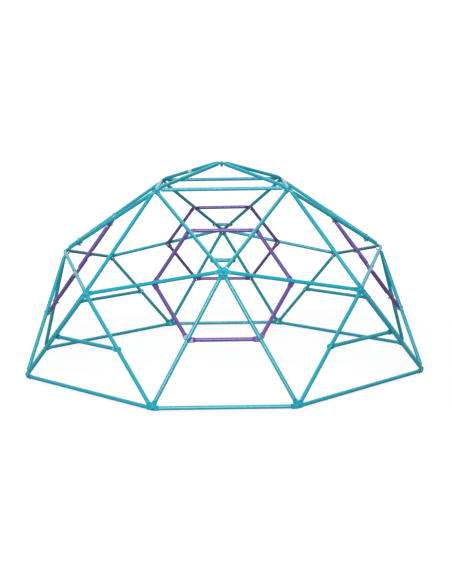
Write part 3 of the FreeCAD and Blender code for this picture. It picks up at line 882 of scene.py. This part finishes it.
def makeStruts():
    taper = tube["taperReach"]
    for name, line in lines.items():
        if name.startswith(("upper", "lower")):
            continue
        shell = Shell()
        if name.startswith("base_corner"):
            splicedTube(shell, line, pressing["hubHole"], taper)
        else:
            wholeTube(shell, line, pressing["hubHole"], taper)
        shell.make(camel(name), teal, "teal_powder_coat", [name])
    for side in sides:
        for kind in ("upper", "lower"):
            shell = Shell()
            for name, line in lines.items():
                if name.startswith("%s_strut_%s_" % (kind, side)):
                    wholeTube(shell, line, pressing["hubHole"], taper)
            shell.make("%sStruts%s" % (kind, side.capitalize()), teal, "teal_powder_coat",
                       ["%s_struts_%s" % (kind, side)])


makeStruts()
print("struts made")


# rungs inside the dome

rungStacks = {}     # (strut, distance) and how many rung ends hang on that bolt


def rungEnd(strut, distance, layer):
    rungStacks[strut, distance] = max(rungStacks.get((strut, distance), 0), layer + 1)
    line = lines[strut]
    seat = line.point(distance) - line.z * tube["radius"]
    return End(seat, line.z, -(layer + 0.5) * tube["flatThickness"])


def middleOf(strut):
    return lines[strut].length / 2


def makeRungs():
    cornerShell, shortShell = Shell(), Shell()
    knee = tube["shortRungReach"] - tube["flatReach"]
    for number, side in enumerate(sides):
        nextSide, lastSide = sides[(number + 1) % 4], sides[number - 1]
        around = ["%s_strut_%s_%s" % (kind, side, nextSide) for kind in ("upper", "middle", "lower")]
        around += ["%s_strut_%s_%s" % (kind, side, lastSide) for kind in ("lower", "middle", "upper")]
        shell = Shell()
        for place, strut in enumerate(around):
            other = around[(place + 1) % len(around)]
            first, second = rungEnd(strut, middleOf(strut), 0), rungEnd(other, middleOf(other), 1)
            rung = Line(first, second, tube["flatReach"])
            wholeTube(shell, rung, pressing["rungHole"], tube["taperReach"])
        shell.make("hexagon" + side.capitalize(), purple, "purple_powder_coat", ["hexagon_" + side])
        rung = Line(rungEnd(around[0], knee, 0), rungEnd(around[-1], knee, 0), tube["shortFlat"])
        wholeTube(shortShell, rung, pressing["rungHole"], tube["shortTaper"])
        legs = ["corner_leg_%s_%s" % (side, nextSide), "corner_leg_%s_%s" % (nextSide, side)]
        rung = Line(*[rungEnd(leg, middleOf(leg), 0) for leg in legs], tube["flatReach"])
        wholeTube(cornerShell, rung, pressing["rungHole"], tube["taperReach"])
    cornerShell.make("cornerRungs", teal, "teal_powder_coat", ["corner_rungs"])
    shortShell.make("shortRungs", teal, "teal_powder_coat", ["short_rungs"])


makeRungs()
print("rungs made")


# fasteners: domed bolts with a hexagon socket, cap nuts and washers

fasteners = {
    "hub": {"thread": 0.010, "head": 0.0175, "headHeight": 0.0055, "socket": 0.006,
            "nut": 0.016, "nutHeight": 0.008, "washer": 0.022},
    "rung": {"thread": 0.008, "head": 0.014, "headHeight": 0.0044, "socket": 0.005,
             "nut": 0.013, "nutHeight": 0.0065, "washer": 0.017},
    "splice": {"thread": 0.006, "head": 0.0105, "headHeight": 0.0033, "socket": 0.004,
               "nut": 0.010, "nutHeight": 0.005},
    "washerThickness": 0.0016,
    "holeGap": 0.00025,
    "threadGap": 0.0001,
    "lip": 0.2,              # upright lip of a head, as a share of its height
    "socketDepth": 0.55,
    "nutDome": 0.46,
    "nutReach": 0.2,
    "boreSpare": 0.001,
    "around": 36,            # points round a fastener
    "domeSteps": 8,
    "rounding": 0.00035,     # of edges
    "chamfer": 3.2,          # length of a nut's chamfer, in roundings
    "chamferWaist": 1.06,    # its middle point, as a share of the way across the flats
    "socketFloor": 0.12,     # the small flat at the bottom of a socket, as a share of its width
    "nutBoreEnd": 0.9,
    "sharp": 2 / math.sqrt(3),      # corners of a hexagon, as a share of the way across its flats
    "nearlyUpright": 0.001,
    "sharpAngle": 28,
}


def circle(radius):
    count = fasteners["around"]
    return [(radius * math.cos(2 * math.pi * n / count), radius * math.sin(2 * math.pi * n / count))
            for n in range(count)]


def hexagon(acrossFlats, limit=1.0):
    # a hexagon whose corners are turned down to a circle: limit 1 leaves a circle that touches the flats
    count = fasteners["around"]
    points = []
    for n in range(count):
        angle = 2 * math.pi * n / count
        fromFlat = (angle + math.pi / 6) % (math.pi / 3) - math.pi / 6
        reach = min(acrossFlats / 2 / math.cos(fromFlat), acrossFlats / 2 * limit)
        points.append((reach * math.cos(angle + math.pi / 6), reach * math.sin(angle + math.pi / 6)))
    return points


class Spot:
    # a bolted place: a point on the bolt's line, its outward direction and the faces of the stack
    def __init__(self, point, normal, top, bottom):
        self.point = point
        self.top = top
        self.bottom = bottom
        self.normal = normal
        sideways = Vector((0, 0, 1)).cross(normal)
        if sideways.length < fasteners["nearlyUpright"]:
            sideways = Vector((1, 0, 0))
        self.u = sideways.normalized()
        self.v = normal.cross(self.u)

    def rings(self, shell, turn, outline):
        # outline: rings of (points, height along the bolt, pit); the first and last are capped
        cos, sin = math.cos(turn), math.sin(turn)
        previous = None
        tone = dice.uniform(-0.5, 0.5)
        for points, height, pit in outline:
            level = self.point + self.normal * height
            turned = [level + self.u * (x * cos - y * sin) + self.v * (x * sin + y * cos) for x, y in points]
            ring = shell.ring(turned, radial=[math.hypot(x, y) for x, y in points], pit=pit, tone=tone)
            if previous:
                shell.join(previous, ring)
            else:
                shell.cap(ring, level, radial=0.0, pit=pit, tone=tone)
            previous = ring
        shell.cap(previous, level, radial=0.0, pit=pit, tone=tone)

    def loop(self, shell, outline):
        # a closed ring-shaped solid
        first = previous = None
        tone = dice.uniform(-0.5, 0.5)
        for radius, height in outline:
            level = self.point + self.normal * height
            ring = shell.ring([level + self.u * x + self.v * y for x, y in circle(radius)],
                              radial=radius, pit=0.0, tone=tone)
            if previous:
                shell.join(previous, ring)
            first = first or ring
            previous = ring
        shell.join(previous, first)


def boltOutline(kind, seat, length):
    # rings of a domed bolt, from the floor of its socket over the head to the end of its shank
    head, height = fasteners[kind]["head"] / 2, fasteners[kind]["headHeight"]
    thread, socket = fasteners[kind]["thread"] / 2, fasteners[kind]["socket"]
    lip = height * fasteners["lip"]
    edge = fasteners["rounding"]
    rise = height - lip
    curve = (head * head + rise * rise) / (2 * rise)
    steep = math.asin(head / curve)
    floor = height * (1 - fasteners["socketDepth"])
    mouth = socket / math.sqrt(3) + edge
    inner = math.asin(mouth / curve)
    rimHeight = height - curve + curve * math.cos(inner)
    sharp = fasteners["sharp"]
    # the third number of each ring, pit, also sets the painted shade and dirt: in the socket, under the head
    # and on the shank
    rings = [(circle(socket * fasteners["socketFloor"]), floor - edge, 1), (hexagon(socket, 1.1), floor, 1),
             (hexagon(socket, sharp), floor + edge, 0.8), (hexagon(socket, sharp), rimHeight - edge, 0.25),
             (circle(mouth), rimHeight, 0.1)]
    for step in range(1, fasteners["domeSteps"] + 1):
        slope = inner + (steep - inner) * step / fasteners["domeSteps"]
        rings.append((circle(curve * math.sin(slope)), height - curve + curve * math.cos(slope), 0))
    rings += [(circle(head), lip - edge * 0.4, 0), (circle(head), edge, 0), (circle(head - edge), 0, 0.4),
              (circle(thread), 0, 0.5), (circle(thread), edge - length, 0.5),
              (circle(thread - edge), -length, 0.5)]
    return [(points, seat + level, pit) for points, level, pit in rings]


def nutOutline(kind, seat):
    # rings of a cap nut, from the end of its bore round the outside to its crown
    across, height = fasteners[kind]["nut"], fasteners[kind]["nutHeight"]
    bore = fasteners[kind]["thread"] / 2 + fasteners["threadGap"]
    depth = height + fasteners["nutReach"] * fasteners[kind]["thread"] + fasteners["boreSpare"]
    edge = fasteners["rounding"]
    cap = across * fasteners["nutDome"]
    corners = hexagon(across, fasteners["sharp"])
    waist = hexagon(across, fasteners["chamferWaist"])
    chamfer = edge * fasteners["chamfer"]
    # the third number of each ring, pit, also sets the painted shade and dirt: in the bore and in the groove
    # under the dome
    rings = [(circle(bore * fasteners["nutBoreEnd"]), -depth, 1), (circle(bore), -depth + edge, 1),
             (circle(bore), -edge, 0.8), (circle(bore + edge), 0, 0.5),
             (hexagon(across, 1.0), 0, 0.3), (waist, -edge * 0.8, 0.1), (corners, -chamfer, 0),
             (corners, -height + chamfer, 0), (waist, -height + edge * 0.8, 0),
             (hexagon(across, 0.99), -height, 0.1), (circle(cap + edge), -height, 0.35),
             (circle(cap), -height - edge, 0.2)]
    for step in range(1, fasteners["domeSteps"]):
        slope = math.pi / 2 * step / fasteners["domeSteps"]
        rings.append((circle(cap * math.cos(slope)), -height - edge - (cap - edge) * math.sin(slope), 0))
    return [(points, seat + level, pit) for points, level, pit in rings]


def addWasher(shell, kind, spot, seat):
    inner = fasteners[kind]["thread"] / 2 + fasteners["holeGap"]
    outer, edge = fasteners[kind]["washer"] / 2, fasteners["rounding"]
    thick = fasteners["washerThickness"]
    spot.loop(shell, [(inner, seat + edge), (inner, seat + thick - edge), (inner + edge, seat + thick),
                      (outer - edge, seat + thick), (outer, seat + thick - edge), (outer, seat + edge * 0.5),
                      (outer - edge * 0.5, seat), (inner + edge, seat)])


def makeFasteners(kind, spots, topWasher, bottomWasher):
    bolts, nuts, washers = Shell(), Shell(), Shell()
    thick = fasteners["washerThickness"]
    engaged = fasteners[kind]["nutHeight"] + fasteners["nutReach"] * fasteners[kind]["thread"]
    for spot in spots:
        headSeat = spot.top + thick * topWasher
        nutSeat = spot.bottom - thick * bottomWasher
        length = headSeat - nutSeat + engaged
        spot.rings(bolts, dice.uniform(0, math.pi / 3), boltOutline(kind, headSeat, length))
        spot.rings(nuts, dice.uniform(0, math.pi / 3), nutOutline(kind, nutSeat))
        if topWasher:
            addWasher(washers, kind, spot, spot.top)
        if bottomWasher:
            addWasher(washers, kind, spot, nutSeat)
    angle = fasteners["sharpAngle"]
    bolts.make(kind + "Bolts", coatedHead, "teal_powder_coat", [kind + "_bolts"], angle)
    nuts.make(kind + "Nuts", brightZinc, "zinc_plate", [kind + "_nuts"], angle)
    if topWasher:
        washers.make(kind + "Washers", coatedHead, "teal_powder_coat", [kind + "_washers"], angle)
    elif bottomWasher:
        washers.make(kind + "Washers", dullZinc, "zinc_plate", [kind + "_washers"], angle)


def makeAllFasteners():
    half = tube["radius"]
    thick = tube["flatThickness"]
    spots = []
    for name, stack in stacks.items():
        reach = len(stack) * thick / 2
        spots.append(Spot(hubs[name], outward[name], reach, -reach))
    makeFasteners("hub", spots, True, True)
    spots = []
    for (strut, distance), ends in rungStacks.items():
        line = lines[strut]
        spots.append(Spot(line.point(distance), line.z, half, -half - ends * thick))
    makeFasteners("rung", spots, False, True)
    spots = []
    for corner in corners:
        line = lines["base_corner_" + corner]
        spots.append(Spot(line.point(line.length / 2), line.z, half, -half))
    makeFasteners("splice", spots, False, False)


makeAllFasteners()
print("fasteners made")


# a blank label round the back left apex strut

label = {
    "strut": "apex_strut_back_left",
    "reach": 0.028,          # along the tube
    "around": 250,           # degrees
    "facing": (-0.71, -0.70, 0),
    "thick": 0.00018,
    "edge": 0.0003,
    "stepsAlong": 10,
    "stepsAround": 48,
    "dot": (0.00176, 0.00144),      # radius of its soft edge, outside and inside
    "colour": (0.80, 0.80, 0.78, 1),
    "shade": (0.62, 0.62, 0.60, 1),
    "shadiness": (0.3, 1.3),
    "ink": (0.06, 0.06, 0.065, 1),
    "roughness": (0.35, 0.2, -0.1),     # at rest, then by cloud and dot
    "cloudScale": 90,
    "grainScale": 700,
    "grainDepth": 0.00001,
}


def makeLabelFinish():
    film = Finish(bpy.data.materials.new("labelFilm"))
    dot = film.marked("radial").rises(*label["dot"])
    cloud = film.noise(label["cloudScale"], 4.0, 0.6)
    shade = weighed(label["shadiness"], cloud).clamped()
    return film.finish({
        "Base Color": film.mixed(dot, film.mixed(shade, label["colour"], label["shade"]), label["ink"]),
        "Roughness": weighed(label["roughness"], cloud, dot),
        "Normal": film.bump(film.noise(label["grainScale"], 3.0), label["grainDepth"]),
    })


def makeLabel():
    line = lines[label["strut"]]
    middle = line.point(line.length / 2)
    out = Vector(label["facing"])
    out = (out - line.x * out.dot(line.x)).normalized()
    side = line.x.cross(out)
    low, high = tube["radius"] - label["thick"], tube["radius"] + label["thick"]
    inset = label["edge"] / label["reach"]
    rings = [(-0.5, low), (-0.5, high)]
    for step in range(label["stepsAlong"] + 1):
        rings.append((-0.5 + inset + (1 - 2 * inset) * step / label["stepsAlong"], high))
    rings += [(0.5, high), (0.5, low)]
    shell = Shell()
    drawn = []
    for share, radius in rings:
        points, radial = [], []
        for step in range(label["stepsAround"] + 1):
            angle = math.radians(label["around"]) * (step / label["stepsAround"] - 0.5)
            away = (out * math.cos(angle) + side * math.sin(angle)) * radius
            points.append(middle + line.x * label["reach"] * share + away)
            radial.append(math.hypot(label["reach"] * share, angle * radius))
        drawn.append(shell.ring(points, radial=radial))
    for first, second in zip(drawn, drawn[1:]):
        shell.join(first, second, closed=False)
    for column in (0, -1):
        shell.faces.append([ring[column] for ring in drawn])
    shell.make("blankLabel", makeLabelFinish())


makeLabel()
print("label made")
